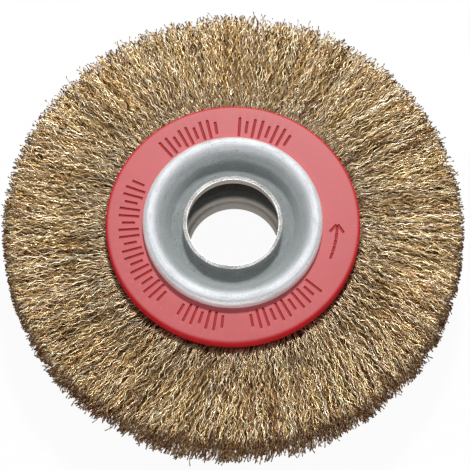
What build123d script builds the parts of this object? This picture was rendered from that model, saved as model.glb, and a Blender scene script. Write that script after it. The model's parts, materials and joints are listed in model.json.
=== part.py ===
from build123d import *
import math
import os

# Wire wheel brush for a bench grinder. The wheel lies flat, its bore along +Z,
# with the origin on the bore's axis in the middle plane. All sizes in millimetres.

# Overall sizes
tip_diameter = 152.4          # over the longest wire tips
tip_span = 20.0               # width of the wire face at the tips
bore_diameter = 30.0
collar_span = 27.0            # over the cut ends of the two collars

# Ferrule: one pressed ring of even sheet, given by the run of each of its bands
ferrule_sheet = 1.2
floor_span = 16.0             # clear width between the two trough floors
trough_floor_run = 4.8
trough_wall_run = 2.2
draw_step_depth = 3.2         # from the crest's middle line down to the draw step
draw_step_run = 3.2
crest_run = 2.9
crest_rise = 3.7              # crest above the plate's face
trough_bend = 1.8
draw_step_bend = 3.0
crest_inner_bend = 2.8
crest_outer_bend = 1.2

# Plate: a pressed disc with a turned-down rim
plate_diameter = 83.0
plate_span = 25.4             # over the faces of the two plates
plate_sheet = 1.0
plate_shoulder_bend = 0.8
rim_span = 18.0               # clear width between the two plate rims
plate_hole_clearance = 0.8

# Core ring that the wires are folded round
core_rod_diameter = 5.0
fold_gap = 2.6                # from the bore's wall out to the fold
fold_depth = 4.0
fold_wall = 3.0               # wires between the fold's inner side and the core ring
fold_flat_run = 2.0
neck_run = 5.0

# Locks of crimped wire that lie over both faces
lock_count = 48
lock_width = 1.4
lock_height = 0.9
lock_tuck = 4.0               # how far a lock reaches in under the plate
short_lock_start = 0.45       # share of the free length where a short lock starts
crimp_half_pitch = 5.2
crimp_amplitude = 0.75
lock_lean = 1.6               # degrees either way
tip_spread = 2.4              # how unevenly the tips end

# How unevenness runs round the wheel, in radians from one piece to the next
lock_tip_wander = 3.7
lock_lean_wander = 2.4
tooth_tip_wander = 2.3
row_tip_wander = 1.9

# Rim of cut tips
rim_rows = 3
tooth_count = 90
tooth_depth = 2.4
row_overlap = 4.0             # how far the rows of tips reach into the mass

# Clearances
seat_clearance = 0.05

# Derived radii and heights
bore_radius = bore_diameter / 2
tip_radius = tip_diameter / 2
plate_radius = plate_diameter / 2
plate_face_z = plate_span / 2
rim_z = rim_span / 2
floor_z = floor_span / 2
collar_line_radius = bore_radius + ferrule_sheet / 2
trough_foot_radius = collar_line_radius + trough_floor_run
step_radius = trough_foot_radius + trough_wall_run
crest_inner_radius = step_radius + draw_step_run
foot_radius = crest_inner_radius + crest_run
crest_line_z = plate_face_z + crest_rise - ferrule_sheet / 2
plate_hole_radius = step_radius + ferrule_sheet + plate_hole_clearance

fold_radius = bore_radius + fold_gap
fold_half = floor_z - seat_clearance
core_ring_radius = fold_radius + fold_wall + core_rod_diameter / 2
neck_radius = trough_foot_radius + fold_flat_run + neck_run
mass_radius = tip_radius - tooth_depth - tip_spread
grip_radius = plate_radius - plate_sheet
grip_half = rim_z - lock_height - 2 * seat_clearance
mass_rim_half = tip_span / 2 - lock_height
flare = (mass_rim_half - grip_half) / (mass_radius - grip_radius)


def shortfall(wander):
    """How far a tip ends short of the longest ones, on a wave."""
    return tip_spread * (1 + math.sin(wander)) / 2


def mass_half(radius):
    """Half thickness of the packed wires at a radius outside the neck."""
    return grip_half + flare * (radius - grip_radius)


def pressed_ring(points, bends, sheet):
    """A ring pressed from even sheet, from the middle line of its section."""
    middle_line = FilletPolyline(*points, radius=bends)
    section = Plane.XZ * trace(middle_line, sheet)
    return revolve(section, Axis.Z)


def other_side(shape):
    """The same piece turned over to the back of the wheel."""
    return Rot(180, 0, 0) * shape


def make_ferrule():
    """Outer roll that stands on the plate, trough, and collar round the bore."""
    floor_line_z = floor_z + ferrule_sheet / 2
    points = [
        (foot_radius, plate_face_z),
        (foot_radius, crest_line_z),
        (crest_inner_radius, crest_line_z),
        (step_radius, crest_line_z - draw_step_depth),
        (trough_foot_radius, floor_line_z),
        (collar_line_radius, floor_line_z),
        (collar_line_radius, collar_span / 2),
    ]
    bends = [crest_outer_bend, crest_inner_bend, draw_step_bend, trough_bend, trough_bend]
    return pressed_ring(points, bends, ferrule_sheet)


def make_plate():
    """Flat face, rounded shoulder and turned-down rim that grips the wires."""
    line_z = plate_face_z - plate_sheet / 2
    line_radius = plate_radius - plate_sheet / 2
    points = [(plate_hole_radius, line_z), (line_radius, line_z), (line_radius, rim_z)]
    return pressed_ring(points, [plate_shoulder_bend], plate_sheet)


def make_core_ring():
    """Round rod ring that every wire is folded over."""
    return Torus(core_ring_radius, core_rod_diameter / 2)


def tip_row(row):
    """One row of the rim: a toothed slab, turned by its share of a tooth."""
    slab_half = mass_half(mass_radius - row_overlap) - seat_clearance
    row_height = 2 * slab_half / rim_rows
    half_tooth = math.pi / tooth_count
    outline = []
    for corner in range(2 * tooth_count):
        angle = half_tooth * (corner + 2 * row / rim_rows)
        wander = tooth_tip_wander * corner + row_tip_wander * row
        radius = tip_radius - shortfall(wander) - tooth_depth * (corner % 2)
        outline.append((radius * math.cos(angle), radius * math.sin(angle)))
    slab = extrude(make_face(Polyline(*outline, close=True)), row_height)
    slab -= Cylinder(mass_radius - row_overlap, 3 * row_height)
    return Pos(0, 0, row * row_height - slab_half) * slab


def make_wire_mass():
    """Packed wires: folded round the core ring, flaring out to the rim of cut tips."""
    flat_end = trough_foot_radius + fold_flat_run
    upper = [
        (fold_radius + fold_depth, fold_half),
        (flat_end, fold_half),
        (neck_radius, mass_half(neck_radius)),
        (mass_radius, mass_half(mass_radius)),
    ]
    lower = [(radius, -height) for radius, height in reversed(upper)]
    sides = Polyline(*upper, *lower)
    fold_centre = (fold_radius + fold_depth, 0)
    fold = EllipticalCenterArc(fold_centre, fold_depth, fold_half, start_angle=90, arc_size=180)
    section = Plane.XZ * make_face(Curve() + [sides, fold])
    mass = revolve(section, Axis.Z)
    for row in range(rim_rows):
        mass += tip_row(row)
    mass -= Torus(core_ring_radius, core_rod_diameter / 2 + seat_clearance)
    return mass


def make_lock(start_radius, end_radius, side):
    """A crimped lock of wires as a zigzag ribbon, from its root along +X."""
    waves = max(2, round((end_radius - start_radius) / crimp_half_pitch))
    step = (end_radius - start_radius) / waves
    left = []
    right = []
    for bend in range(waves + 1):
        swing = side * crimp_amplitude * (-1) ** bend
        left.append((bend * step, swing + lock_width / 2))
        right.append((bend * step, swing - lock_width / 2))
    outline = Polyline(*left, *reversed(right), close=True)
    return extrude(make_face(outline), lock_height)


def make_lock_layer():
    """Long locks from under the plate and short ones between them, all tips uneven."""
    root_radius = plate_radius - lock_tuck
    short_radius = plate_radius + short_lock_start * (tip_radius - plate_radius)
    slope = math.degrees(math.atan(flare))
    locks = []
    for index in range(2 * lock_count):
        start = short_radius if index % 2 else root_radius
        end = tip_radius - shortfall(lock_tip_wander * index)
        side = 1 if index % 4 < 2 else -1
        lean = lock_lean * math.sin(lock_lean_wander * index)
        root = Pos(start, 0, mass_half(start) + seat_clearance) * Rot(0, -slope, 0) * Rot(0, 0, lean)
        turn = 180 * index / lock_count
        locks.append(Rot(0, 0, turn) * root * make_lock(start, end, side))
    return Compound(locks)


ferrule = make_ferrule()
plate = make_plate()
locks = make_lock_layer()
nodes = {
    "front_ferrule": ferrule,
    "back_ferrule": other_side(ferrule),
    "front_plate": plate,
    "back_plate": other_side(plate),
    "core_ring": make_core_ring(),
    "wire_mass": make_wire_mass(),
    "front_wires": locks,
    "back_wires": other_side(locks),
}

os.makedirs("parts", exist_ok=True)
for name, shape in nodes.items():
    export_step(shape, f"parts/{name}.step")
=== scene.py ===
# %% [markdown]
# A crimped wire wheel for a bench grinder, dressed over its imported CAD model. The wheel lies
# flat: its bore runs along +Z, the camera looks down on the front plate, and every length is
# in metres. The two pressed ferrules keep their CAD meshes. The painted front plate gets its
# stamped marks here, and the wires, which the CAD holds as one mass, become single wires.

# %% Load the frame
import json
import math

import bpy
import numpy as np
from mathutils import Matrix, Vector


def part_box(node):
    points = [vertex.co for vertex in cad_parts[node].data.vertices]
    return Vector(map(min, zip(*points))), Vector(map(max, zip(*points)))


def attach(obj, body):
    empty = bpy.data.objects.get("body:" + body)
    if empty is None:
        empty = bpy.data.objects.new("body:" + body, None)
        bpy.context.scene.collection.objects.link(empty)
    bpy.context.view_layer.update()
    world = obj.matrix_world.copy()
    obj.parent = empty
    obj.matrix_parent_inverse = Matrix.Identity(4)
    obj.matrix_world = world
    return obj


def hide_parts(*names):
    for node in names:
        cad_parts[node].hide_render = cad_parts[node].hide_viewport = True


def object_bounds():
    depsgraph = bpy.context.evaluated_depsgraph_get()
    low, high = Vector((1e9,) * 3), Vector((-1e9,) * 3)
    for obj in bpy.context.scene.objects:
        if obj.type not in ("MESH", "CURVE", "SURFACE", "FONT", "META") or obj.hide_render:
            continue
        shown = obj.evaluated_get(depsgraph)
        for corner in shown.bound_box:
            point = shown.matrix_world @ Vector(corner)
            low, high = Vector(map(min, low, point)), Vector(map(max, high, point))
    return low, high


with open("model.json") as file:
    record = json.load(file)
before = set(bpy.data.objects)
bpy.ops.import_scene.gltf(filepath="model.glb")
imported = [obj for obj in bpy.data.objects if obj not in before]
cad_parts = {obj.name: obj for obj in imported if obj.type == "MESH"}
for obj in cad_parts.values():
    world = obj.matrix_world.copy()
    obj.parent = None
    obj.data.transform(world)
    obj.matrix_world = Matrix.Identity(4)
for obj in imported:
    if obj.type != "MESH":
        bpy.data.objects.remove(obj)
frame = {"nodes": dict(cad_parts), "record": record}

MM = 0.001
cad_low, cad_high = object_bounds()
print("CAD box in mm:", [round(side / MM, 1) for side in cad_high - cad_low])

# %% [markdown]
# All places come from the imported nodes, so that the scene follows the CAD: the plate gives
# the face and the rim that grips the wires, the ferrule gives the crest, the record gives the
# bore, and the whole box gives the reach of the longest wire tip.

# %% Sizes read from the frame
plate_low, plate_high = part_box("front_plate")
ferrule_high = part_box("front_ferrule")[1]
bore_size = frame["record"]["mounts"][0]["dims"]
PLATE_RADIUS = plate_high.x
PLATE_FACE = plate_high.z
PLATE_RIM = plate_low.z
FERRULE_RADIUS = ferrule_high.x
CREST = ferrule_high.z
FLOOR_LEVEL = cad_low.z
TIP_REACH = min(cad_high.x, cad_high.y, -cad_low.x, -cad_low.y)
BORE_RADIUS = bore_size["r_mm"] * MM
COLLAR_END = bore_size["length_mm"] * MM / 2
print("plate radius", round(PLATE_RADIUS / MM, 2), "tip reach", round(TIP_REACH / MM, 2))

# %% [markdown]
# The photograph was taken from nearly above, about 21 degrees off the wheel's axis, with a
# long lens: circles stay almost round and hardly shrink with depth. The camera is placed by
# elevation and distance. Its lens follows from how many pixels one millimetre takes at the
# wheel's middle, and a small sideways step puts the bore where the photograph has it.

# %% Camera
ELEVATION = math.radians(69.4)
ROLL = math.radians(-2.5)
CAMERA_DISTANCE = 1.2
PIXELS_PER_MM = 3.04
IMAGE_SIZE = 470
CENTRE_X = 233.4
CENTRE_Y = 236.9
SENSOR_WIDTH = 36.0


def new_object(name, data):
    """A new object in the scene for a camera, a lamp or a mesh."""
    made = bpy.data.objects.new(name, data)
    bpy.context.collection.objects.link(made)
    return made


camera_data = bpy.data.cameras.new("camera")
camera = new_object("camera", camera_data)
bpy.context.scene.camera = camera
camera_data.sensor_width = SENSOR_WIDTH
camera_data.lens = SENSOR_WIDTH * PIXELS_PER_MM * CAMERA_DISTANCE / MM / IMAGE_SIZE
camera_data.clip_start = 0.01
camera_data.clip_end = 20.0
to_camera = Vector((0, -math.cos(ELEVATION), math.sin(ELEVATION)))
aim = (-to_camera).to_track_quat("-Z", "Y").to_matrix().to_4x4() @ Matrix.Rotation(ROLL, 4, "Z")
camera_right = aim @ Vector((1, 0, 0))
camera_up = aim @ Vector((0, 1, 0))
step_right = (IMAGE_SIZE / 2 - CENTRE_X) / PIXELS_PER_MM * MM
step_up = (CENTRE_Y - IMAGE_SIZE / 2) / PIXELS_PER_MM * MM
camera_place = to_camera * CAMERA_DISTANCE + camera_right * step_right + camera_up * step_up
camera.matrix_world = Matrix.Translation(camera_place) @ aim
print("lens", round(camera_data.lens, 1), "mm")

# %% [markdown]
# The room, the floor and every finish are trees of nodes. They could be drawn in the editor,
# but a script keeps them readable with a few helpers: one feeds an input, one adds a node with
# its values, and the others do sums, mix two numbers and tell the kinds of ray apart.

# %% Node helpers


def feed(tree, socket, value):
    """Gives an input its value: another node's output, or a plain number or colour."""
    if isinstance(value, bpy.types.NodeSocket):
        tree.links.new(value, socket)
    else:
        socket.default_value = value


def add_node(tree, kind, **settings):
    """One node with its properties. A setting in_NAME feeds the input of that name."""
    node = tree.nodes.new(kind)
    for name, value in settings.items():
        if name.startswith("in_"):
            feed(tree, node.inputs[name[3:].replace("_", " ")], value)
        else:
            setattr(node, name, value)
    return node


def fed_in_order(tree, node, *values):
    """Feeds the inputs of a node in their own order and returns its first output."""
    for socket, value in zip(node.inputs, values):
        feed(tree, socket, value)
    return node.outputs[0]


def maths(tree, operation, *sides):
    """One sum; each side is a node's output or a plain number."""
    return fed_in_order(tree, add_node(tree, "ShaderNodeMath", operation=operation), *sides)


def times(tree, value, factor):
    """A product; each side is a node's output or a plain number."""
    return maths(tree, "MULTIPLY", value, factor)


def blended(tree, mask, first, second):
    """A number that goes from first to second with a mask."""
    return add_node(tree, "ShaderNodeMix", in_Factor=mask, in_A=first, in_B=second).outputs["Result"]


def sight_masks(tree):
    """Masks for what the camera sees, straight or through glass, and for what metal mirrors."""
    path = add_node(tree, "ShaderNodeLightPath").outputs
    seen = maths(tree, "MAXIMUM", path["Is Camera Ray"], path["Is Transmission Ray"])
    return seen, path["Is Glossy Ray"]


print("helpers for node trees ready")

# %% [markdown]
# The wheel stands in a white room, as for a product shot. Sheets of card could make it, but
# the world's light can be told apart by the kind of ray: it lights the wheel softly, shows up
# brighter in the metal, and the camera sees it as white paper.

# %% White room
ROOM_LIGHT = 0.27
ROOM_IN_METAL = 0.62
ROOM_SEEN = 0.95

world = bpy.data.worlds.new("white room")
bpy.context.scene.world = world
world.use_nodes = True
room = world.node_tree
room.nodes.clear()
room_seen, room_mirrored = sight_masks(room)
plain_level = blended(room, room_seen, ROOM_LIGHT, ROOM_SEEN)
room_level = blended(room, room_mirrored, plain_level, ROOM_IN_METAL)
room_light = add_node(room, "ShaderNodeBackground", in_Color=(1, 1, 1, 1), in_Strength=room_level)
add_node(room, "ShaderNodeOutputWorld", in_Surface=room_light.outputs[0])
bpy.context.scene.view_settings.view_transform = "Standard"
print("room lights at", ROOM_LIGHT, "and is seen at", ROOM_SEEN)

# %% [markdown]
# Two lamps: a hard one from behind and above, which draws the crisp shadow of the ferrule on
# the plate, and a weak wide one low in front for the turned-down rims. Both are area lamps,
# placed by distance and two angles, as one moves a real lamp round a table.

# %% Lamps


def add_lamp(name, watts, size, distance, elevation, azimuth):
    """A square lamp that looks at the wheel; azimuth 0 stands behind, 180 in front."""
    data = bpy.data.lights.new(name, "AREA")
    data.energy = watts
    data.size = size
    lamp = new_object(name, data)
    high = math.radians(elevation)
    round_by = math.radians(azimuth)
    flat = math.cos(high)
    way = Vector((math.sin(round_by) * flat, math.cos(round_by) * flat, math.sin(high)))
    facing = way.to_track_quat("Z", "Y").to_matrix().to_4x4()
    lamp.matrix_world = Matrix.Translation(way * distance) @ facing
    print("lamp", name, watts, "W")


add_lamp("key", watts=20.5, size=0.22, distance=1.5, elevation=54, azimuth=8)
add_lamp("front", watts=13.0, size=0.9, distance=1.6, elevation=5, azimuth=186)

# %% [markdown]
# The floor is one large white sheet at the level that the wheel rests on. Mixing in plain
# white where the camera looks keeps the sheet pure, yet leaves the wheel's shadow in it. The
# metal sees a part of that white too, as it would on a lit table, which opens up the bore.

# %% Floor
FLOOR_HALF = 4.0
FLOOR_WHITE = 0.95
FLOOR_IN_METAL = 0.30
PAPER_WHITE = (0.9, 0.9, 0.9, 1)


def bare_material(name):
    """A material with an empty node tree."""
    material = bpy.data.materials.new(name)
    material.use_nodes = True
    material.node_tree.nodes.clear()
    return material, material.node_tree


def dress(piece, material):
    """Gives a piece one material, in place of any that it has."""
    piece.data.materials.clear()
    piece.data.materials.append(material)


floor_signs = [(-1, -1), (1, -1), (1, 1), (-1, 1)]
floor_corners = [(x * FLOOR_HALF, y * FLOOR_HALF, FLOOR_LEVEL) for x, y in floor_signs]
floor_mesh = bpy.data.meshes.new("floor")
floor_mesh.from_pydata(floor_corners, [], [(0, 1, 2, 3)])
floor = new_object("floor", floor_mesh)
floor_paper, paper = bare_material("white paper")
paper_seen, paper_mirrored = sight_masks(paper)
white_share = maths(paper, "MAXIMUM", times(paper, paper_seen, FLOOR_WHITE),
                    times(paper, paper_mirrored, FLOOR_IN_METAL))
lit_paper = add_node(paper, "ShaderNodeBsdfDiffuse", in_Color=PAPER_WHITE)
plain_white = add_node(paper, "ShaderNodeEmission", in_Strength=1.0)
paper_look = fed_in_order(paper, add_node(paper, "ShaderNodeMixShader"), white_share,
                          lit_paper.outputs[0], plain_white.outputs[0])
add_node(paper, "ShaderNodeOutputMaterial", in_Surface=paper_look)
dress(floor, floor_paper)
print("floor at", round(FLOOR_LEVEL / MM, 1), "mm")

# %% [markdown]
# The finishes share some small faults: a fine grain, sparse specks where dirt sits in pits,
# and streaks where a tool or the wires have run one way. Each is a node group with its own
# inputs, built once, so that the zinc, the paint and the wires can each ask for their own size
# and amount. Streaks are noise in a space that is squeezed one way, which needs no map.

# %% Shared effects


def new_group(name, output, **inputs):
    """An empty shader group with one output; returns it and what its inputs give."""
    group = bpy.data.node_groups.new(name, "ShaderNodeTree")
    for label, start in inputs.items():
        socket = group.interface.new_socket(label, in_out="INPUT", socket_type="NodeSocketFloat")
        socket.default_value = start
    group.interface.new_socket(output, in_out="OUTPUT", socket_type="NodeSocketFloat")
    return group, add_node(group, "NodeGroupInput").outputs


def object_place(tree):
    """The point on the object, in metres, which stays put in every view."""
    return add_node(tree, "ShaderNodeTexCoord").outputs["Object"]


def noise(tree, place, **values):
    """Cloudy noise between 0 and 1 at a place."""
    settings = {"in_" + name: value for name, value in values.items()}
    return add_node(tree, "ShaderNodeTexNoise", in_Vector=place, **settings).outputs["Fac"]


def make_grain_group():
    """Even fine grain between 0 and 1, with a coarser cloud over it."""
    group, given = new_group("fine grain", "Grain", Scale=3000.0, Cloud=0.3)
    place = object_place(group)
    fine = noise(group, place, Scale=given["Scale"], Detail=3.0, Roughness=0.6)
    cloud = noise(group, place, Scale=160.0, Detail=4.0)
    add_node(group, "NodeGroupOutput", in_Grain=blended(group, given["Cloud"], fine, cloud))
    return group


def make_speck_group():
    """Sparse round specks: 1 inside a speck and 0 between them."""
    group, given = new_group("dark specks", "Speck", Scale=900.0, Amount=0.2)
    place = object_place(group)
    cells = add_node(group, "ShaderNodeTexVoronoi", in_Vector=place, in_Scale=given["Scale"])
    size = times(group, noise(group, place, Scale=120.0, Detail=2.0), given["Amount"])
    inside = maths(group, "LESS_THAN", cells.outputs["Distance"], size)
    add_node(group, "NodeGroupOutput", in_Speck=inside)
    return group


def make_streak_group():
    """Noise in a space of three values, which runs in streaks where one of them is small."""
    group, given = new_group("streaks", "Streak", Across=0.0, Along=0.0, Level=0.0, Scale=1.0, Detail=3.0)
    spot = fed_in_order(group, add_node(group, "ShaderNodeCombineXYZ"),
                        given["Across"], given["Along"], given["Level"])
    streak = noise(group, spot, Scale=given["Scale"], Detail=given["Detail"], Roughness=0.7)
    add_node(group, "NodeGroupOutput", in_Streak=streak)
    return group


GRAIN = make_grain_group()
SPECKS = make_speck_group()
STREAKS = make_streak_group()
print("groups:", GRAIN.name, SPECKS.name, STREAKS.name)

# %% [markdown]
# Small helpers keep each material readable: place a group, remap a value between two limits,
# mix two colours, turn a height into a bump, and measure where on the wheel a point lies.
# Every material ends in one Principled shader whose constant values sit on its own sockets.

# %% Material helpers
GRAIN_RANGE = (0.2, 0.8)
GRAIN_MIDDLE = (0.3, 0.7)


def placed_group(tree, group, **values):
    """A copy of a shared effect in a material, with this material's values."""
    node = add_node(tree, "ShaderNodeGroup", node_tree=group)
    for name, value in values.items():
        feed(tree, node.inputs[name], value)
    return node.outputs[0]


def remap(tree, value, low, high, start=0.0, end=1.0, smooth=True):
    """value taken from low..high to start..end."""
    kind = "SMOOTHSTEP" if smooth else "LINEAR"
    node = add_node(tree, "ShaderNodeMapRange", interpolation_type=kind, in_Value=value,
                    in_From_Min=low, in_From_Max=high, in_To_Min=start, in_To_Max=end)
    return node.outputs["Result"]


def rough_by(tree, grain, low, high):
    """Roughness from low to high, which follows the grain."""
    return remap(tree, grain, *GRAIN_RANGE, low, high, smooth=False)


def swing(tree, value, strength):
    """A value between 0 and 1 as a swing to both sides of 0."""
    return times(tree, maths(tree, "SUBTRACT", value, 0.5), strength)


def mixed(tree, mask, first, second):
    """Two colours mixed by a mask; each is a node's output or an (r, g, b)."""
    node = add_node(tree, "ShaderNodeMix", data_type="RGBA", in_Factor=mask)
    for name, colour in (("A", first), ("B", second)):
        socket = next(s for s in node.inputs if s.name == name and s.type == "RGBA")
        feed(tree, socket, (*colour, 1) if isinstance(colour, tuple) else colour)
    return next(s for s in node.outputs if s.type == "RGBA")


def bumped(tree, height, strength, distance):
    """A normal from a height between 0 and 1."""
    node = add_node(tree, "ShaderNodeBump", in_Strength=strength, in_Distance=distance, in_Height=height)
    return node.outputs["Normal"]


def principled(tree, **inputs):
    """Ends a material in one Principled shader with these inputs."""
    shader = add_node(tree, "ShaderNodeBsdfPrincipled", **inputs)
    add_node(tree, "ShaderNodeOutputMaterial", in_Surface=shader.outputs["BSDF"])


def place_parts(tree):
    """The three coordinates of the point on the object."""
    return add_node(tree, "ShaderNodeSeparateXYZ", in_Vector=object_place(tree)).outputs


def radius_of(tree):
    """Distance from the bore's axis."""
    part = place_parts(tree)
    squares = [times(tree, part[axis], part[axis]) for axis in "XY"]
    return maths(tree, "SQRT", maths(tree, "ADD", *squares))


def angle_of(tree):
    """Angle round the bore's axis, in radians."""
    part = place_parts(tree)
    return maths(tree, "ARCTAN2", part["Y"], part["X"])


def height_of(tree):
    """Distance from the middle plane, on either side of it."""
    return maths(tree, "ABSOLUTE", place_parts(tree)["Z"])


print("plate face at", round(PLATE_FACE / MM, 2), "mm, crest at", round(CREST / MM, 2), "mm")

# %% [markdown]
# A ferrule has four zones: the crest, painted brighter as a painted highlight, its outer
# edge, painted brightest, the inside of the bore, painted pale as a painted reflection, and the
# sheared end of the collar. A painted map could tell them apart, but radius and height do it
# without one. Each band runs from where a zone starts to where it is full.

# %% Zones of a ferrule
BORE_BEND = 25.5 * MM
COLLAR_WALL = 1.35 * MM
CUT_END_DEPTH = 0.12 * MM
CREST_BAND = (PLATE_FACE + 1.3 * MM, CREST - 0.3 * MM)
EDGE_BAND = (FERRULE_RADIUS - 1.2 * MM, FERRULE_RADIUS - 0.4 * MM)
COLLAR_BAND = (BORE_RADIUS + 0.2 * MM, BORE_RADIUS + 0.05 * MM)
BEND_BAND = (BORE_BEND + 0.3 * MM, BORE_BEND)
END_BAND = (COLLAR_END - CUT_END_DEPTH, COLLAR_END - CUT_END_DEPTH / 2)
WALL_BAND = (BORE_RADIUS + COLLAR_WALL, BORE_RADIUS + COLLAR_WALL - 0.1 * MM)
RING_BREAKS = 5.0
RING_FINENESS = 2200.0


def zinc_zones(tree, radius, height):
    """Masks of the crest's painted highlight, its outer edge, the bore's inside and the cut end."""
    outer_edge = remap(tree, radius, *EDGE_BAND)
    crest = maths(tree, "MAXIMUM", remap(tree, height, *CREST_BAND), outer_edge)
    bend = remap(tree, maths(tree, "ADD", radius, height), *BEND_BAND)
    bore = maths(tree, "MAXIMUM", remap(tree, radius, *COLLAR_BAND), bend)
    cut_end = times(tree, remap(tree, height, *END_BAND), remap(tree, radius, *WALL_BAND))
    return crest, outer_edge, bore, cut_end


def ring_marks(tree, radius, height):
    """Fine marks that run round the bore, as the press tool leaves them."""
    return placed_group(tree, STREAKS, Across=times(tree, angle_of(tree), RING_BREAKS),
                        Along=times(tree, radius, RING_FINENESS), Level=times(tree, height, RING_FINENESS))


print("crest burnished from", round(CREST_BAND[0] / MM, 2), "mm up")

# %% [markdown]
# The zinc plating is painted bright on the crest and brightest on its outer edge as painted
# highlight, darker and grey-green in the trough as painted shade, and paler and warmer in the
# bore and on its inner bend as painted reflection and highlight. Grain and fine ring marks mottle
# it, some dirt sits in its pits, and the collar's end is raw steel, brightened in part as a
# painted highlight on the lip. Several materials could do this, but one metal with mixed colours
# has no hard seams between them.

# %% Zinc plating
# The crest and edge colours are painted highlight, the trough colour is painted shade, and the bore colour
# is a painted reflection and highlight.
CREST_HIGHLIGHT = (0.57, 0.58, 0.60)
EDGE_HIGHLIGHT = (0.82, 0.82, 0.83)
TROUGH_SHADE = (0.45, 0.48, 0.475)
BORE_REFLECTION = (0.70, 0.65, 0.60)
# The collar's end is raw steel; its bright colour is partly a painted highlight on the lip.
CUT_DARK = (0.42, 0.415, 0.40)
CUT_STEEL_AND_HIGHLIGHT = (0.82, 0.82, 0.81)
CUT_GRAIN = (0.36, 0.6)
DIRT = (0.10, 0.09, 0.08)
DIRT_SHARE = 0.55
GRAIN_MOTTLE = 2.8
RING_MOTTLE = 2.0
RING_DEPTH = 0.6
CREST_HIGHLIGHT_SHARE = 0.85
DULL_ROUGH = 0.97
CREST_ROUGH = 0.72
BORE_SMOOTHER = 0.45
SCUFF_SMOOTHER = 0.08


def make_zinc():
    """Dull plating with a painted highlight on the crest, painted shade in the trough and a raw cut at the
    collar's end.
    """
    material, tree = bare_material("zinc plating")
    radius = radius_of(tree)
    height = height_of(tree)
    grain = placed_group(tree, GRAIN, Scale=2600.0, Cloud=0.35)
    specks = placed_group(tree, SPECKS, Scale=900.0, Amount=0.26)
    rings = ring_marks(tree, radius, height)
    crest, outer_edge, bore, cut_end = zinc_zones(tree, radius, height)
    mottle = maths(tree, "ADD", swing(tree, grain, GRAIN_MOTTLE), swing(tree, rings, RING_MOTTLE))
    # The crest's share brings in the painted highlight; the mottle is the plating's own.
    dappled = maths(tree, "ADD", times(tree, crest, CREST_HIGHLIGHT_SHARE), mottle)
    bright = maths(tree, "MINIMUM", maths(tree, "MAXIMUM", dappled, 0.0), 1.0)
    # Painted highlight on the crest, brighter still on its outer edge, painted shade in the trough,
    # painted reflection in the bore.
    highlighted = mixed(tree, outer_edge, CREST_HIGHLIGHT, EDGE_HIGHLIGHT)
    walls = mixed(tree, bore, mixed(tree, bright, TROUGH_SHADE, highlighted), BORE_REFLECTION)
    sheared = mixed(tree, remap(tree, grain, *CUT_GRAIN), CUT_DARK, CUT_STEEL_AND_HIGHLIGHT)
    coloured = mixed(tree, cut_end, walls, sheared)
    dirty = mixed(tree, times(tree, specks, DIRT_SHARE), coloured, DIRT)
    rough = remap(tree, crest, 0.0, 1.0, DULL_ROUGH, CREST_ROUGH, smooth=False)
    smoother = maths(tree, "SUBTRACT", rough, times(tree, bore, BORE_SMOOTHER))
    scuffed = maths(tree, "SUBTRACT", smoother, times(tree, mottle, SCUFF_SMOOTHER))
    surface = maths(tree, "ADD", grain, times(tree, rings, RING_DEPTH))
    principled(tree, in_Metallic=1.0, in_Base_Color=dirty, in_Roughness=scuffed,
               in_Normal=bumped(tree, surface, strength=0.5, distance=0.12 * MM))
    return material


zinc = make_zinc()
for node_name in ("front_ferrule", "back_ferrule"):
    dress(frame["nodes"][node_name], zinc)
    print("zinc on", node_name)

# %% [markdown]
# The plates are pressed steel with red paint. The flat faces are painted a paler red, which is
# painted sheen: the sheen of slightly rough paint with the lamp nearly in the mirror direction,
# put partly into the colour. The rim and the stamped strokes keep the paint's deep red without
# that sheen, and the rim's red is painted brighter as painted light on the turned-down rim. A
# faint orange peel and a few dust specks keep the face from looking moulded.

# %% Red paint
# The face reds hold a painted sheen; the rim red is the paint's deep red painted brighter as painted
# light; the stroke red is the deep red without the sheen.
FACE_SHEEN_RED_LOW = (0.49, 0.074, 0.082)
FACE_SHEEN_RED_HIGH = (0.55, 0.090, 0.098)
RIM_RED_LIT = (0.66, 0.016, 0.024)
STROKE_RED = (0.42, 0.030, 0.036)
DUST = (0.75, 0.35, 0.34)
DUST_SHARE = 0.35
FACE_SHINE = 0.5
DEEP_SHINE = 0.15
STROKE_BAND = (PLATE_FACE - 0.08 * MM, PLATE_FACE - 0.25 * MM)
RIM_BAND = (PLATE_RADIUS - 0.9 * MM, PLATE_RADIUS - 0.3 * MM)


def make_paint():
    """Red enamel with a painted sheen that pales the flat face; the rim is painted brighter."""
    material, tree = bare_material("red paint")
    grain = placed_group(tree, GRAIN, Scale=1500.0, Cloud=0.6)
    specks = placed_group(tree, SPECKS, Scale=300.0, Amount=0.09)
    # The face's paler red is the painted sheen.
    red = mixed(tree, remap(tree, grain, *GRAIN_MIDDLE), FACE_SHEEN_RED_LOW, FACE_SHEEN_RED_HIGH)
    stamped_low = remap(tree, height_of(tree), *STROKE_BAND)
    on_rim = remap(tree, radius_of(tree), *RIM_BAND)
    in_stroke = times(tree, stamped_low, maths(tree, "SUBTRACT", 1.0, on_rim))
    # Rim and strokes keep the deep red without the painted sheen, the rim painted brighter.
    stroked = mixed(tree, in_stroke, mixed(tree, on_rim, red, RIM_RED_LIT), STROKE_RED)
    dusty = mixed(tree, times(tree, specks, DUST_SHARE), stroked, DUST)
    deep_red = maths(tree, "MAXIMUM", on_rim, in_stroke)
    shine = remap(tree, deep_red, 0.0, 1.0, FACE_SHINE, DEEP_SHINE)
    principled(tree, in_Metallic=0.0, in_Base_Color=dusty, in_Specular_IOR_Level=shine,
               in_Roughness=rough_by(tree, grain, low=0.48, high=0.56),
               in_Normal=bumped(tree, grain, strength=0.12, distance=0.10 * MM))
    return material


paint = make_paint()
dress(frame["nodes"]["back_plate"], paint)
print("paint on the back plate")

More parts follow.
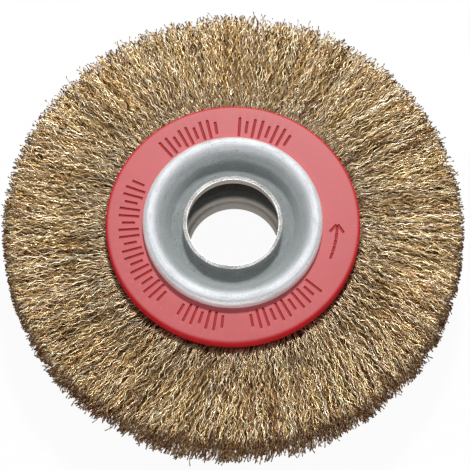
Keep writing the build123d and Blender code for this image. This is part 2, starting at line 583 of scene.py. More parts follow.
# %% [markdown]
# A pressed disc is a shape of revolution, so it could be a curve with a screw modifier, or a
# profile spun in mesh code. Spinning a list of section points is used here, because the same
# helper also makes the bed of packed wires, and the point count stays under control.

# %% Spinning a section
PLATE_SHEET = 1.0 * MM
SHOULDER = 1.25 * MM
PLATE_HOLE = 25.2 * MM
PLATE_STEPS = 288


def spun(name, section, steps):
    """A closed ring from section points (radius, height), spun round the bore's axis."""
    turns = np.linspace(0, 2 * math.pi, steps, endpoint=False)
    radius, height = np.array(section).T
    x = np.outer(np.cos(turns), radius)
    y = np.outer(np.sin(turns), radius)
    z = np.tile(height, (steps, 1))
    count = len(section)
    quads = []
    for turn_index in range(steps):
        here = turn_index * count
        there = (turn_index + 1) % steps * count
        for point in range(count):
            after = (point + 1) % count
            quads.append((here + point, there + point, there + after, here + after))
    mesh = bpy.data.meshes.new(name)
    mesh.from_pydata(np.stack([x, y, z], 2).reshape(-1, 3).tolist(), [], quads)
    return mesh


def arc_points(centre, size, first, last, steps):
    """Points on an arc of the section, in degrees."""
    angles = [math.radians(first + (last - first) * index / steps) for index in range(steps + 1)]
    return [(centre[0] + size * math.cos(a), centre[1] + size * math.sin(a)) for a in angles]


def plate_section():
    """The plate's wall from the hole out over the shoulder and down to the rim's edge."""
    middle = (PLATE_RADIUS - SHOULDER, PLATE_FACE - SHOULDER)
    outside = arc_points(middle, SHOULDER, first=90, last=0, steps=7)
    inside = arc_points(middle, SHOULDER - PLATE_SHEET, first=0, last=90, steps=5)
    hole_top = [(PLATE_HOLE, PLATE_FACE)]
    edge = [(PLATE_RADIUS, PLATE_RIM), (PLATE_RADIUS - PLATE_SHEET, PLATE_RIM)]
    hole_under = [(PLATE_HOLE, PLATE_FACE - PLATE_SHEET)]
    return hole_top + outside + edge + inside + hole_under


def count_of(piece):
    """Triangles of a piece."""
    return sum(len(polygon.vertices) - 2 for polygon in piece.data.polygons)


plate_piece = new_object("front_plate_stamped", spun("front_plate_stamped", plate_section(), PLATE_STEPS))
print("plain plate:", count_of(plate_piece), "triangles")

# %% [markdown]
# The plate is stamped with short strokes: a plain scale of long and short bars all round, and
# on the right a bare arrow along the way of turning. They could be a bump in the paint, but a
# visible shape has to be in the mesh. Each stroke is cut by a small wedge that is wider at the
# top, so its walls slope and catch the light as a punched stroke does.

# %% Strokes and their cutters
MARK_RADIUS = 34.0 * MM
MARK_DEPTH = 0.45 * MM
MARK_WIDE = 0.95 * MM
MARK_NARROW = 0.45 * MM
ABOVE = 0.2 * MM
LONG_BAR = 5.8 * MM
SHORT_BAR = 3.4 * MM
BAR_STEP = 4.1
BAR_GROUPS = [(56, 84), (97, 128), (153, 225), (238, 262), (278, 318)]
ARROW_ANGLE = 346.0
ARROW_SPAN = 20.0
ARROW_PARTS = 5
ARROW_GAP = 0.9
ARROW_BARB = 2.0 * MM
ARROW_POINT = 0.5 * MM
ARROW_BARB_TURN = 3.4


def wedge(start, end):
    """Corners and faces of one stroke cutter between two points on the plate."""
    start, end = Vector((*start, 0)), Vector((*end, 0))
    along = (end - start).normalized()
    side = Vector((-along.y, along.x, 0))
    slope = (MARK_WIDE - MARK_NARROW) / 2 / MARK_DEPTH
    corners = []
    for level, half in ((-MARK_DEPTH, MARK_NARROW / 2), (ABOVE, MARK_WIDE / 2 + slope * ABOVE)):
        for end_point, way in ((start, -1), (end, 1)):
            for sign in (-1, 1):
                point = end_point + along * way * half + side * sign * half
                corners.append((point.x, point.y, PLATE_FACE + level))
    faces = [(0, 1, 3, 2), (4, 6, 7, 5), (0, 4, 5, 1), (2, 3, 7, 6), (0, 2, 6, 4), (1, 5, 7, 3)]
    return corners, faces


def at(radius, degrees):
    """A point on the plate by radius and angle."""
    return radius * math.cos(math.radians(degrees)), radius * math.sin(math.radians(degrees))


def scale_bars():
    """Ends of the scale's bars; every third one is short."""
    bars = []
    for first, last in BAR_GROUPS:
        count = round((last - first) / BAR_STEP)
        for index in range(count + 1):
            angle = first + (last - first) * index / count
            half = (LONG_BAR if index % 3 else SHORT_BAR) / 2
            bars.append((at(MARK_RADIUS - half, angle), at(MARK_RADIUS + half, angle)))
    return bars


def arrow_strokes():
    """Ends of the strokes of the arrow's bent shaft and of its two barbs."""
    bends = [ARROW_ANGLE + ARROW_SPAN * (index / ARROW_PARTS - 0.5) for index in range(ARROW_PARTS + 1)]
    strokes = []
    for first, last in zip(bends, bends[1:]):
        strokes.append((at(MARK_RADIUS, first + ARROW_GAP), at(MARK_RADIUS, last - ARROW_GAP)))
    for side in (-1, 1):
        barb = at(MARK_RADIUS + side * ARROW_BARB, bends[-1] - ARROW_BARB_TURN)
        strokes.append((barb, at(MARK_RADIUS + side * ARROW_POINT, bends[-1])))
    return strokes


all_strokes = scale_bars() + arrow_strokes()
print("strokes:", len(all_strokes))

# %% [markdown]
# All the wedges go into one mesh, so that one boolean stamps the whole plate, which is faster
# than one for each. The result is copied to a mesh of its own, shaded smooth except along the
# sharp edges, and painted.

# %% Stamping the plate
SHARP_FROM = math.radians(32)

cutter_points = []
cutter_faces = []
for stroke_start, stroke_end in all_strokes:
    wedge_corners, wedge_faces = wedge(stroke_start, stroke_end)
    cutter_faces += [tuple(len(cutter_points) + index for index in face) for face in wedge_faces]
    cutter_points += wedge_corners
cutter_mesh = bpy.data.meshes.new("strokes")
cutter_mesh.from_pydata(cutter_points, [], cutter_faces)
cutter = new_object("strokes", cutter_mesh)
cut_modifier = plate_piece.modifiers.new("strokes", "BOOLEAN")
cut_modifier.operation = "DIFFERENCE"
cut_modifier.solver = "EXACT"
cut_modifier.use_self = True
cut_modifier.object = cutter
cut_plate = plate_piece.evaluated_get(bpy.context.evaluated_depsgraph_get())
stamped = bpy.data.meshes.new_from_object(cut_plate)
plate_piece.modifiers.clear()
plate_piece.data = stamped
bpy.data.objects.remove(cutter)
stamped.shade_smooth()
stamped.set_sharp_from_angle(angle=SHARP_FROM)
dress(plate_piece, paint)
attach(plate_piece, "root")
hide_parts("front_plate")
print("stamped plate:", count_of(plate_piece), "triangles")

# %% [markdown]
# The wires. A real wheel holds some thousands of brassed steel wires, each crimped by toothed
# rollers into a small even wave, folded over the core ring and pressed outwards between the
# plates. Hair curves can't be exported as a mesh, so each wire is a slim three-sided tube with
# smooth shading and a small burr at its cut tip. Numpy makes all of a layer's wires at once:
# one row of points along each wire, three corners round each point.

# %% Tubes
WIRE_RADIUS = 0.170 * MM
WIRE_UNEVEN = (0.85, 1.1)
WIRE_SIDES = 3
SPIN_SEED = 5
DARK_TIP = 0.95 * MM
TIP_BURR = 0.4


def tube_corners(centres, side_ways, radius):
    """Three corners round each point of each wire, and how near to its tip each point is."""
    up = np.array([0.0, 0.0, 1.0])
    spin = np.random.default_rng(SPIN_SEED).uniform(0, 2 * math.pi, (len(centres), 1))
    angles = spin + np.arange(WIRE_SIDES) * 2 * math.pi / WIRE_SIDES
    round_it = np.cos(angles)[:, :, None] * side_ways[:, None, :] + np.sin(angles)[:, :, None] * up
    from_tip = np.linalg.norm(centres - centres[:, -1:], axis=2)[:, :, None]
    near_tip = 1 - np.clip(from_tip / DARK_TIP, 0, 1)
    thickness = (radius[:, None, None] * (1 + TIP_BURR * near_tip))[:, :, :, None]
    return centres[:, :, None, :] + thickness * round_it[:, None, :, :], near_tip


def tube_faces(wires, points):
    """Corner numbers of the sides of all tubes, four a face, and of their ends, three a face."""
    side = np.arange(WIRE_SIDES)
    after = (side + 1) % WIRE_SIDES
    first = (np.arange(wires)[:, None, None] * points + np.arange(points - 1)[:, None]) * WIRE_SIDES
    beyond = first + WIRE_SIDES
    sides = np.stack([first + side, beyond + side, beyond + after, first + after], 3).reshape(-1, 4)
    roots = np.arange(wires)[:, None] * points * WIRE_SIDES
    tips = roots + (points - 1) * WIRE_SIDES
    return sides, np.concatenate([roots + side, tips + side[::-1]])


print("wire thickness", round(2 * WIRE_RADIUS / MM, 2), "mm")

# %% [markdown]
# Each wire gets its own part of a picture on the map OFBake, where its finish can be baked.
# Blender could unwrap the tubes, but with so many that takes long. All wires of a layer have
# the same number of points, so their places on the map can be worked out: a grid of cells, one
# a wire, with its sides as a long strip and its two ends beside it.

# %% Strips of the map
STRIP_SHAPE = 8
STRIP_LEFT = 0.04
STRIP_LONG = 0.86
STRIP_LOW = 0.1
STRIP_TALL = 0.8
END_LEFTS = (0.91, 0.955)
END_LOW = 0.15
END_CORNERS = np.array([(0.0, 0.0), (0.0, 0.6), (0.04, 0.3)])


def lay_strips(mesh, wires, points):
    """Gives each wire its own small strip of the map OFBake."""
    columns = math.ceil(math.sqrt(wires / STRIP_SHAPE))
    rows = math.ceil(wires / columns)
    wire, point = np.divmod(np.arange(wires * (points - 1)), points - 1)
    left = (wire % columns + STRIP_LEFT + STRIP_LONG * point / (points - 1)) / columns
    right = (wire % columns + STRIP_LEFT + STRIP_LONG * (point + 1) / (points - 1)) / columns
    low = (wire // columns)[:, None] + STRIP_LOW + STRIP_TALL * np.arange(WIRE_SIDES) / WIRE_SIDES
    high = low + STRIP_TALL / WIRE_SIDES
    across = np.stack([left, right, right, left], 1)[:, None, :].repeat(WIRE_SIDES, 1)
    upward = np.stack([low, low, high, high], 2) / rows
    maps = [np.stack([across, upward], 3).reshape(-1, 2)]
    each = np.arange(wires)
    for end_left in END_LEFTS:
        u = ((each % columns)[:, None] + end_left + END_CORNERS[:, 0]) / columns
        v = ((each // columns)[:, None] + END_LOW + END_CORNERS[:, 1]) / rows
        maps.append(np.stack([u, v], 2).reshape(-1, 2))
    layer = mesh.uv_layers.new(name="OFBake")
    layer.uv.foreach_set("vector", np.concatenate(maps).astype(np.float32).ravel())


print("strips", STRIP_SHAPE, "times as many rows as columns")

# %% [markdown]
# The mesh of a whole layer. Lists of so many faces would be slow, so the arrays go straight
# into the mesh. Each wire carries three values for its finish: how near a point is to the tip,
# the wire's own random tint, and how deep it lies among the others, which sets its painted shade.

# %% Mesh of a layer


def wire_mesh(name, centres, side_ways, tint, deep, radius):
    """A mesh of three-sided tubes. centres is wires x points x 3, side_ways wires x 3; tint,
    deep and radius have one value a wire."""
    wires, points, _ = centres.shape
    corners, near_tip = tube_corners(centres, side_ways, radius)
    sides, ends = tube_faces(wires, points)
    loops = np.concatenate([sides.ravel(), ends.ravel()])
    starts = np.concatenate([np.arange(len(sides)) * 4, sides.size + np.arange(len(ends)) * WIRE_SIDES])
    mesh = bpy.data.meshes.new(name)
    mesh.vertices.add(wires * points * WIRE_SIDES)
    mesh.vertices.foreach_set("co", corners.astype(np.float32).ravel())
    mesh.loops.add(len(loops))
    mesh.loops.foreach_set("vertex_index", loops.astype(np.int32))
    mesh.polygons.add(len(starts))
    mesh.polygons.foreach_set("loop_start", starts.astype(np.int32))
    mesh.polygons.foreach_set("use_smooth", np.arange(len(starts)) < len(sides))
    marks = {"tip": near_tip, "tint": tint[:, None, None], "deep": deep[:, None, None]}
    for label, mark in marks.items():
        values = np.broadcast_to(mark, (wires, points, WIRE_SIDES)).astype(np.float32)
        layer = mesh.attributes.new(label, "FLOAT", "POINT")
        layer.data.foreach_set("value", values.ravel())
    mesh.update(calc_edges=True)
    mesh.validate()
    lay_strips(mesh, wires, points)
    return mesh


def placed_wires(name, rng, angle, out, aside, height, deep, side=1, thick=1.0):
    """Turns middle lines round the axis and makes the mesh object of the layer."""
    turn_x, turn_y = np.cos(angle)[:, None], np.sin(angle)[:, None]
    x = out * turn_x - aside * turn_y
    y = (out * turn_y + aside * turn_x) * side
    ways = np.stack([-np.sin(angle), np.cos(angle) * side, 0 * angle], 1)
    size = thick * WIRE_RADIUS * rng.uniform(*WIRE_UNEVEN, len(angle))
    centres = np.stack([x, y, height * side], 2)
    tint = rng.uniform(0, 1, len(angle))
    return new_object(name, wire_mesh(name, centres, ways, tint, deep, size))


print("a point takes", WIRE_SIDES, "corners")

# %% [markdown]
# The crimped wires keep together a little in bunches that lean and bend much the same way and
# draw together at their tips, while the next bunch crosses over them. So a value of a wire is
# its bunch's value plus a part of its own. The crimps of neighbours nest in one another and
# slip out of step only slowly round the wheel, and a long wave lets each wire wander. All of
# them trail a few degrees behind the way of turning, and the far side is frayed, as on a wheel
# that has run. This makes the face look like rough fur, not like cloth.

# %% Bunches
WAVE_LENGTH = 4.6 * MM
WAVE_ASIDE = 0.38 * MM
WAVE_UP = 0.25 * MM
WAVE_UNEVEN = 0.045
WAVE_TALL = (0.6, 1.35)
WANDER_LENGTH = 12.0 * MM
WANDER_UNEVEN = (0.75, 1.3)
WANDER_ASIDE = 0.38 * MM
WANDER_UP = 0.5 * MM
NEST_TURN = 2.6
NEST_SLIP = 0.65
NEST_WAVES = ((1.0, 9, 1.3), (0.6, 23, 0.0))
BUNCH_WIDTH = 0.8
BUNCH_LEAN = (2.6, 9.5)
BUNCH_BOW = (0.04, 0.06)
BUNCH_GATHER = 0.35
TRAIL = -7.5
TRAIL_MORE = 9.0
TRAIL_LEAST_AT = math.radians(110)
FRAYED = 4.0 * MM
BOX_SPARE = 0.25 * MM
BOX_SPREAD = 0.65 * MM


def bunched(rng, owner, together, apart):
    """One value a wire: the bunch's share and the wire's own, as spreads."""
    return rng.normal(0, together, owner.max() + 1)[owner] + rng.normal(0, apart, len(owner))


def crimped_lines(rng, owner, first, reach, points, lean=BUNCH_LEAN, gather=BUNCH_GATHER):
    """Angle, way out, way aside, rise and stretch of the middle lines of crimped wires.
    owner is the number of each wire's bunch."""
    count = len(first)
    bunches = owner.max() + 1
    pitch = 2 * math.pi / bunches
    angle = (owner + rng.uniform(0, 1, bunches)[owner]) * pitch
    beside = rng.normal(0, BUNCH_WIDTH, count)[:, None] * pitch
    stretch = np.linspace(0, 1, points)[None, :]
    frayed = FRAYED * np.clip(np.sin(angle), 0, 1) * rng.uniform(0, 1, count) ** 2
    run = (reach - first - frayed)[:, None] * stretch
    out = first[:, None] + run

    # the crimp: its place along the wire, its height and the way that its waves are turned
    nested = NEST_TURN * sum(share * np.sin(angle * often + ahead) for share, often, ahead in NEST_WAVES)
    phase = (nested + rng.normal(0, NEST_SLIP, count))[:, None]
    turned = rng.uniform(0, 2 * math.pi, count)[:, None]
    wave = (WAVE_LENGTH * (1 + rng.normal(0, WAVE_UNEVEN, count)))[:, None]
    along = (first[:, None] - PLATE_RADIUS + run) / wave * 2 * math.pi + phase
    tall = rng.uniform(*WAVE_TALL, count)[:, None]

    # the lean, the bow and the slow wander
    trail = TRAIL + TRAIL_MORE * np.cos(angle - TRAIL_LEAST_AT)
    turn = np.radians(trail + bunched(rng, owner, *lean))[:, None]
    bow = bunched(rng, owner, *BUNCH_BOW)[:, None]
    slow = run / (WANDER_LENGTH * rng.uniform(*WANDER_UNEVEN, count))[:, None] * 2 * math.pi

    aside = run * np.tan(turn) + bow * run * stretch + np.sin(along) * tall * WAVE_ASIDE
    aside = aside + np.sin(slow + turned * 2) * WANDER_ASIDE
    aside = aside + beside * out * (1 - gather * stretch**2)
    rise = np.sin(along + turned) * tall * WAVE_UP + np.sin(slow + turned * 3) * WANDER_UP
    limit = TIP_REACH - BOX_SPARE - rng.exponential(BOX_SPREAD, count)
    scale = np.minimum(1, limit / np.hypot(out, aside).max(1))[:, None]
    return angle, out * scale, aside * scale, rise, stretch


print("crimp of", round(WAVE_LENGTH / MM, 1), "mm, up to", round(WAVE_ASIDE / MM, 2), "mm aside")

# %% [markdown]
# On the faces the upper surface of the wires leaves the plate's rim and rises a little,
# because nothing holds the wires together there, then rounds off towards the tips. Each wire
# lies at its own depth under that surface, deepest on the near side, and a few loose ones
# stand up out of it. The tips were cut to one diameter once, but wear has left about a third
# of them clearly short.

# %% Wires of a face
FACE_START = PLATE_RIM - 0.55 * MM
FACE_TOP = PLATE_RIM + 1.4 * MM
FACE_TOP_RADIUS = 62.0 * MM
ROUND_OFF = 1.3 * MM
DEEPEST = 1.6 * MM
SLACK_ALL = 0.82
SLACK_MORE = 0.38
FACE_BUNCH = 4
ROOT_SEEDS = 20
FREE_RUN = 6.0 * MM
LIFT_SPREAD = 1.0 * MM
LIFT_MOST = 4.8 * MM
LOOSE_SHARE = 0.13
LOOSE_LIFT = (1.0 * MM, 6.0 * MM)
TIP_MEAN = 75.2 * MM
TIP_WORN = -0.8 * MM
TIP_SPREAD = 0.9 * MM
SHORT_SHARE = 0.36
SHORT_BY = 2.2 * MM
LONG_FROM = 0.86
LONG_BY = (1.0 * MM, 2.6 * MM)


def face_height(radius):
    """Height of the wire face over the middle plane."""
    rising = np.clip((radius - PLATE_RADIUS) / (FACE_TOP_RADIUS - PLATE_RADIUS), 0, 1)
    falling = np.clip((radius - FACE_TOP_RADIUS) / (TIP_REACH - FACE_TOP_RADIUS), 0, 1)
    return FACE_START + (FACE_TOP - FACE_START) * np.sqrt(rising) - ROUND_OFF * falling**2


def slack_at(angle):
    """How loosely the wires lie round the wheel, most on the near side."""
    return SLACK_ALL - SLACK_MORE * np.sin(angle)


def tip_reach(rng, count, ragged=1.0):
    """Radius of each tip: most near the mean, a third clearly shorter and a few longer."""
    pick = rng.uniform(0, 1, count)
    off = np.where(pick < SHORT_SHARE, -rng.exponential(SHORT_BY, count), 0.0)
    off = np.where(pick > LONG_FROM, rng.uniform(*LONG_BY, count), off)
    return TIP_MEAN + ragged * (rng.normal(TIP_WORN, TIP_SPREAD, count) + off)


def lay_face(name, seed, count, points, roots, run=None, dive=(0.0, 0.0), side=1, lean=BUNCH_LEAN):
    """A layer of wires that start at radii within roots. They end at the rim, or after a length
    within run. dive is how far the root and the tip go down, where others cross over them."""
    ends = np.random.default_rng(seed + ROOT_SEEDS)
    first = ends.uniform(*roots, count)
    reach = first + ends.uniform(*run, count) if run else tip_reach(ends, count)
    rng = np.random.default_rng(seed)
    owner = rng.integers(0, count // FACE_BUNCH, count)
    angle, out, aside, rise, stretch = crimped_lines(rng, owner, first, reach, points, lean)
    depth = (slack_at(angle * side) * rng.uniform(0.0, DEEPEST, count))[:, None]
    down = dive[0] * (1 - stretch) ** 3 + dive[1] * stretch**3
    loose = (rng.uniform(0, 1, count) < LOOSE_SHARE) * rng.uniform(*LOOSE_LIFT, count)
    lift = np.minimum(rng.normal(0, LIFT_SPREAD, count) + loose, LIFT_MOST)
    free = np.clip((out - PLATE_RADIUS) / FREE_RUN, 0, 1)
    height = face_height(out) - depth - down + free * (rise + lift[:, None] * stretch**2)
    # The depth also sets how much painted shade the wire gets.
    return placed_wires(name, rng, angle, out, aside, height, depth[:, 0] / DEEPEST, side)


print("face rises to", round(float(face_height(FACE_TOP_RADIUS)) / MM, 2), "mm over the middle")

# %% [markdown]
# The finish of the wires: steel with a thin brass skin, from pale straw over gold to grey
# where the brass is gone. Near the plate they are mixed towards a dull grey-brown, the last
# bit towards each cut tip is darker, and deeper wires are painted dark brown as painted shade
# among the others. The metal's reflection is tinted brown, which shows most at a low angle.
# One material does all the wires: a wire's own random tint picks its colour, its depth brings
# in the painted shade, and the distance from the tip brings in the dark end.

# %% Brassed wire
HELD_RUN = 17.0 * MM
HELD_DULL = 0.5
EDGE_SHINE = (0.80, 0.52, 0.24)
# Near the plate the wires are mixed towards a dull grey-brown.
NEAR_PLATE_BROWN = (0.30, 0.235, 0.165)
# Deeper wires are mixed towards a dark brown: painted shade among the other wires.
DEPTH_SHADE = (0.12, 0.034, 0.007)
DEPTH_SHADE_BAND = (0.35, 1.15)
DEPTH_SHADE_MOST = 0.84
# The last bit of each wire towards its tip is mixed towards a dark brown.
TIP_DARKENED = (0.080, 0.022, 0.010)
TIP_DARKENED_BAND = (0.1, 0.9)
TIP_DARKENED_MOST = 0.9
TINT_GRAIN = 0.2
BRASS_TINTS = [
    (0.0, (0.10, 0.045, 0.015)),
    (0.09, (0.24, 0.12, 0.04)),
    (0.18, (0.68, 0.43, 0.17)),
    (0.34, (0.91, 0.71, 0.39)),
    (0.55, (1.0, 0.89, 0.60)),
    (0.74, (0.78, 0.60, 0.47)),
    (0.84, (0.94, 0.71, 0.36)),
    (1.0, (1.0, 0.95, 0.78)),
]


def mark_of(tree, label):
    """One of the values that each wire carries on its mesh."""
    return add_node(tree, "ShaderNodeAttribute", attribute_name=label).outputs["Fac"]


def tint_colour(tree, value):
    """The skin's colour for a tint between 0 and 1."""
    ramp = add_node(tree, "ShaderNodeValToRGB", in_Fac=value)
    stops = ramp.color_ramp.elements
    while len(stops) < len(BRASS_TINTS):
        stops.new(0.5)
    for stop, (spot, colour) in zip(stops, BRASS_TINTS):
        stop.position = spot
        stop.color = (*colour, 1)
    return ramp.outputs["Color"]


def make_brass():
    """Brassed wire, from straw to brown, duller near the plate, with painted shade on deep wires and
    darker tips.
    """
    material, tree = bare_material("brassed wire")
    grain = placed_group(tree, GRAIN, Scale=900.0, Cloud=0.5)
    shifted = maths(tree, "ADD", mark_of(tree, "tint"), swing(tree, grain, TINT_GRAIN))
    # Darker and greyer towards the plate.
    held = remap(tree, radius_of(tree), PLATE_RADIUS, PLATE_RADIUS + HELD_RUN, HELD_DULL, 0.0)
    skin = mixed(tree, held, tint_colour(tree, shifted), NEAR_PLATE_BROWN)
    # Painted shade: the deeper a wire lies, the darker brown it is.
    depth_shaded = mixed(tree, remap(tree, mark_of(tree, "deep"), *DEPTH_SHADE_BAND, end=DEPTH_SHADE_MOST), skin, DEPTH_SHADE)
    # Darker towards the tip.
    tipped = mixed(tree, remap(tree, mark_of(tree, "tip"), *TIP_DARKENED_BAND, end=TIP_DARKENED_MOST), depth_shaded, TIP_DARKENED)
    principled(tree, in_Metallic=0.9, in_Specular_Tint=(*EDGE_SHINE, 1), in_Base_Color=tipped,
               in_Roughness=rough_by(tree, grain, low=0.32, high=0.46))
    return material


brass = make_brass()
print("brass in", len(BRASS_TINTS), "tints")

# %% [markdown]
# A few hundred wires run all the way from the plate to the rim. Most of what one sees are
# parts of wires that come up between others and go down again, so shorter pieces that dive at
# their hidden ends fill the face at the same density everywhere, for a third of the mesh.

# %% Front and back wires
ROOTS = (PLATE_RADIUS - 3.5 * MM, PLATE_RADIUS - 1.5 * MM)
OUTER_ROOTS = (51 * MM, 57 * MM)
EDGE_ROOTS = (61 * MM, 66 * MM)
INNER_RUN = (13 * MM, 19 * MM)
DIVE = 2.6 * MM
THROUGH_LEAN = (3.0, 7.0)

through = lay_face("front_wires_through", seed=11, count=700, points=43, roots=ROOTS, lean=THROUGH_LEAN)
inner = lay_face("front_wires_inner", seed=12, count=1700, points=19, roots=ROOTS,
                 run=INNER_RUN, dive=(0.0, DIVE))
outer = lay_face("front_wires_outer", seed=13, count=1500, points=22, roots=OUTER_ROOTS, dive=(DIVE, 0.0))
edge = lay_face("front_wires_edge", seed=14, count=1500, points=12, roots=EDGE_ROOTS, dive=(DIVE, 0.0))
back_piece = lay_face("back_wires_crimped", seed=15, count=600, points=24, roots=ROOTS, side=-1)
front_pieces = [through, inner, outer, edge]
for piece in front_pieces:
    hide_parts("front_wires")
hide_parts("back_wires")
wire_pieces = front_pieces + [back_piece]
for piece in wire_pieces:
    print(piece.name, count_of(piece), "triangles")

# %% [markdown]
# Between the two faces the rim shows nothing but cut tips. Only the last stretch of each of
# these wires can be seen, so they start inside the imported bed and are short. Near the faces
# they end a little sooner, which rounds the rim's edges, and their bunches close up to points.
# The ones in the middle are painted darkest, as painted shade on the rim.

# %% Rim wires
RIM_ROOTS = (66 * MM, 68 * MM)
RIM_HALF = PLATE_RIM + 0.2 * MM
RIM_ROUND = 0.7 * MM
RIM_MORE = 1.1 * MM
RIM_RAGGED = 0.85
RIM_BUNCH = 9
RIM_BUNCH_TALL = 0.5 * MM
RIM_GATHER = 0.85
RIM_SLOPE = 6.0
RIM_THICK = 1.12
# How much painted shade the rim wires get, most in the middle of the rim.
RIM_SHADE_RANGE = (0.7, 1.2)
RIM_LESS_SHADE = 0.9
RIM_OPEN_FROM = 0.1
RIM_OPEN_OVER = 0.5


def lay_rim(name, seed, count, points):
    """Short wires between the faces, whose cut tips make up the wheel's rim."""
    rng = np.random.default_rng(seed)
    first = rng.uniform(*RIM_ROOTS, count)
    owner = rng.integers(0, count // RIM_BUNCH, count)
    middle = rng.uniform(-RIM_HALF, RIM_HALF, owner.max() + 1)[owner]
    level = middle + rng.normal(0, RIM_BUNCH_TALL, count)
    outer_half = np.abs(level) / RIM_HALF
    reach = tip_reach(rng, count, RIM_RAGGED) + RIM_MORE - RIM_ROUND * outer_half**4
    angle, out, aside, rise, _ = crimped_lines(rng, owner, first, reach, points, gather=RIM_GATHER)
    slope = np.radians(rng.normal(0, RIM_SLOPE, count))[:, None]
    height = level[:, None] + (out - out[:, :1]) * np.tan(slope) + rise
    open_side = np.clip((outer_half - RIM_OPEN_FROM) / RIM_OPEN_OVER, 0, 1)
    # Painted shade: the middle wires of the rim darkest, those near the faces lighter.
    deep = rng.uniform(*RIM_SHADE_RANGE, count) - RIM_LESS_SHADE * np.sqrt(open_side)
    return placed_wires(name, rng, angle, out, aside, height, deep, thick=RIM_THICK)


rim_pieces = []
for rim_name, rim_seed in (("rim_wires_a", 21), ("rim_wires_b", 22)):
    piece = lay_rim(rim_name, rim_seed, count=3500, points=5)
    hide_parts("wire_mass")
    rim_pieces.append(piece)
    print(rim_name, count_of(piece), "triangles")

# %% [markdown]
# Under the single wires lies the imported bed: thousands more, so close together that only
# their ridges show. It is one spun ring, folded round the core ring at the hub, with a
# pattern of crossing crimped ridges moved into its faces. It sinks where the wires above lie
# loosest. Its inner side shows through the bore, between the collars of the ferrules.

# %% Packed bed
BED_STEPS = 480
BED_RIM = 71.0 * MM
BED_UNDER = 1.6 * MM
BED_SINK = 1.3 * MM
BED_POINTS = 14
FOLD_RADIUS = 17.6 * MM
FOLD_DEPTH = 4.0 * MM
FOLD_HALF = 7.9 * MM
FOLD_END = 22.4 * MM
FOLD_STEPS = 8
NECK_END = 27.4 * MM
RIDGES = 210
RIDGE_HEIGHT = 0.10 * MM
CROSS_RIDGES = 133
CROSS_SHARE = 0.6
RIDGE_CRIMP = 0.02
RIDGE_SLIP = 3
RIDGE_SLIPS = 9
FREE_FROM = 3.0 * MM
FREE_OVER = 5.0 * MM


def bed_section():
    """The section of the bed; its lower half is the mirror of the upper."""
    upper = []
    for index in range(FOLD_STEPS + 1):
        angle = math.pi / 2 * index / FOLD_STEPS
        radius = FOLD_RADIUS + FOLD_DEPTH * (1 - math.cos(angle))
        upper.append((radius, FOLD_HALF * math.sin(angle)))
    upper.append((FOLD_END, FOLD_HALF))
    for index in range(BED_POINTS + 1):
        radius = NECK_END + (BED_RIM - NECK_END) * index / BED_POINTS
        upper.append((radius, float(face_height(radius)) - BED_UNDER))
    mirrored = [(radius, -height) for radius, height in reversed(upper[1:])]
    return upper + mirrored


def rise_of_bed(radius, angle):
    """How far the ridges and the slack move the bed's faces outwards."""
    slip = RIDGE_SLIP * np.sin(angle * RIDGE_SLIPS)
    crimp = RIDGE_CRIMP * np.sin(radius / WAVE_LENGTH * 2 * math.pi + slip)
    ridge = np.sin((angle + crimp) * RIDGES) + CROSS_SHARE * np.sin((angle - crimp) * CROSS_RIDGES)
    free = np.clip((radius - PLATE_RADIUS + FREE_FROM) / FREE_OVER, 0, 1)
    sunk = BED_SINK * (slack_at(angle) - SLACK_ALL)
    return (ridge * RIDGE_HEIGHT - sunk) * free


bed_mesh = spun("packed_bed", bed_section(), BED_STEPS)
spots = np.zeros(len(bed_mesh.vertices) * 3)
bed_mesh.vertices.foreach_get("co", spots)
spots = spots.reshape(-1, 3)
bed_radius = np.hypot(spots[:, 0], spots[:, 1])
bed_angle = np.arctan2(spots[:, 1], spots[:, 0])
spots[:, 2] += np.sign(spots[:, 2]) * rise_of_bed(bed_radius, bed_angle)
bed_mesh.vertices.foreach_set("co", spots.ravel())
bed_mesh.update()
bed_mesh.shade_smooth()
bed = new_object("packed_bed", bed_mesh)
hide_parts("wire_mass")
print("bed triangles:", count_of(bed))

# %% [markdown]
# The bed is the same wire seen deep down, where little light comes in, so its colour is
# painted shade: a dark brown with streaks that follow the wires, outwards across the faces
# and round the ring on the fold inside the hub, with darker gaps between them. The streak group
# gives both, fed with angle, radius and height. Outside the plates it takes a lit copy of these
# colours, inside the hub a darker, shaded copy.

# %% Deep wire
# Lit and shaded copies of the streaked wire colour: painted shade deep in the bed and in the gaps between
# wires.
LIT_GAP = (0.04, 0.017, 0.005)
LIT_WIRE = (0.52, 0.35, 0.15)
SHADED_GAP = (0.015, 0.011, 0.009)
SHADED_WIRE = (0.10, 0.075, 0.06)
STREAK_CRIMP = 0.01
STREAKS_ROUND = 100.0
STREAKS_OUT = 60.0
STREAKS_UP = 500.0
STREAK_BAND = (0.42, 0.60)
OUTSIDE_BAND = (PLATE_RADIUS - 2 * MM, PLATE_RADIUS + 2 * MM)


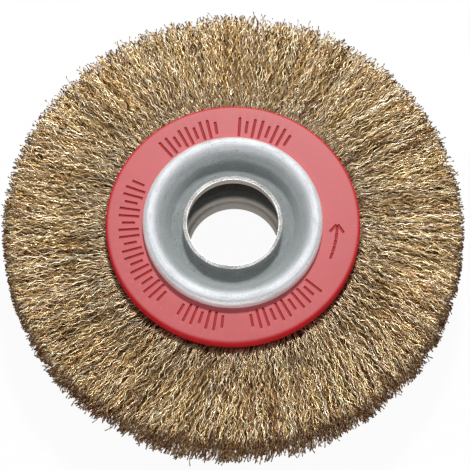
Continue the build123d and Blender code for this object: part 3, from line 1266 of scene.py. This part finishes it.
def make_deep_wire():
    """Dark streaked wire in painted shade, lighter outside the plates than inside the hub."""
    material, tree = bare_material("deep wire")
    radius = radius_of(tree)
    crimp = maths(tree, "SINE", times(tree, radius, 2 * math.pi / WAVE_LENGTH))
    wavy = maths(tree, "ADD", angle_of(tree), times(tree, crimp, STREAK_CRIMP))
    level = times(tree, place_parts(tree)["Z"], STREAKS_UP)
    streak = placed_group(tree, STREAKS, Across=times(tree, wavy, STREAKS_ROUND),
                          Along=times(tree, radius, STREAKS_OUT), Level=level, Scale=1.6, Detail=4.0)
    mask = remap(tree, streak, *STREAK_BAND)
    outside = remap(tree, radius, *OUTSIDE_BAND)
    # Painted shade: a lit copy outside the plates, a darker copy inside the hub.
    lit = mixed(tree, mask, LIT_GAP, LIT_WIRE)
    hidden = mixed(tree, mask, SHADED_GAP, SHADED_WIRE)
    principled(tree, in_Metallic=0.6, in_Roughness=0.55, in_Base_Color=mixed(tree, outside, hidden, lit),
               in_Normal=bumped(tree, streak, strength=0.8, distance=0.4 * MM))
    return material


dress(bed, make_deep_wire())
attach(bed, "root")
for piece in wire_pieces + rim_pieces:
    dress(piece, brass)
    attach(piece, "root")
print("brass on", len(wire_pieces + rim_pieces), "layers of wires, deep wire on the bed")

# %% [markdown]
# The core ring is buried in the fold and is seen only when the wheel is taken apart. It keeps
# its CAD mesh and gets the dull skin of bare hot-rolled rod.

# %% Core ring
SCALE_DARK = (0.20, 0.19, 0.18)
SCALE_PALE = (0.42, 0.41, 0.40)


def make_bare_rod():
    """Hot-rolled steel with its mill scale."""
    material, tree = bare_material("bare rod")
    grain = placed_group(tree, GRAIN, Scale=1400.0, Cloud=0.4)
    colour = mixed(tree, remap(tree, grain, *GRAIN_MIDDLE), SCALE_DARK, SCALE_PALE)
    principled(tree, in_Metallic=1.0, in_Base_Color=colour,
               in_Roughness=rough_by(tree, grain, low=0.4, high=0.6),
               in_Normal=bumped(tree, grain, strength=0.2, distance=0.1 * MM))
    return material


dress(frame["nodes"]["core_ring"], make_bare_rod())
print("bare rod on the core ring")
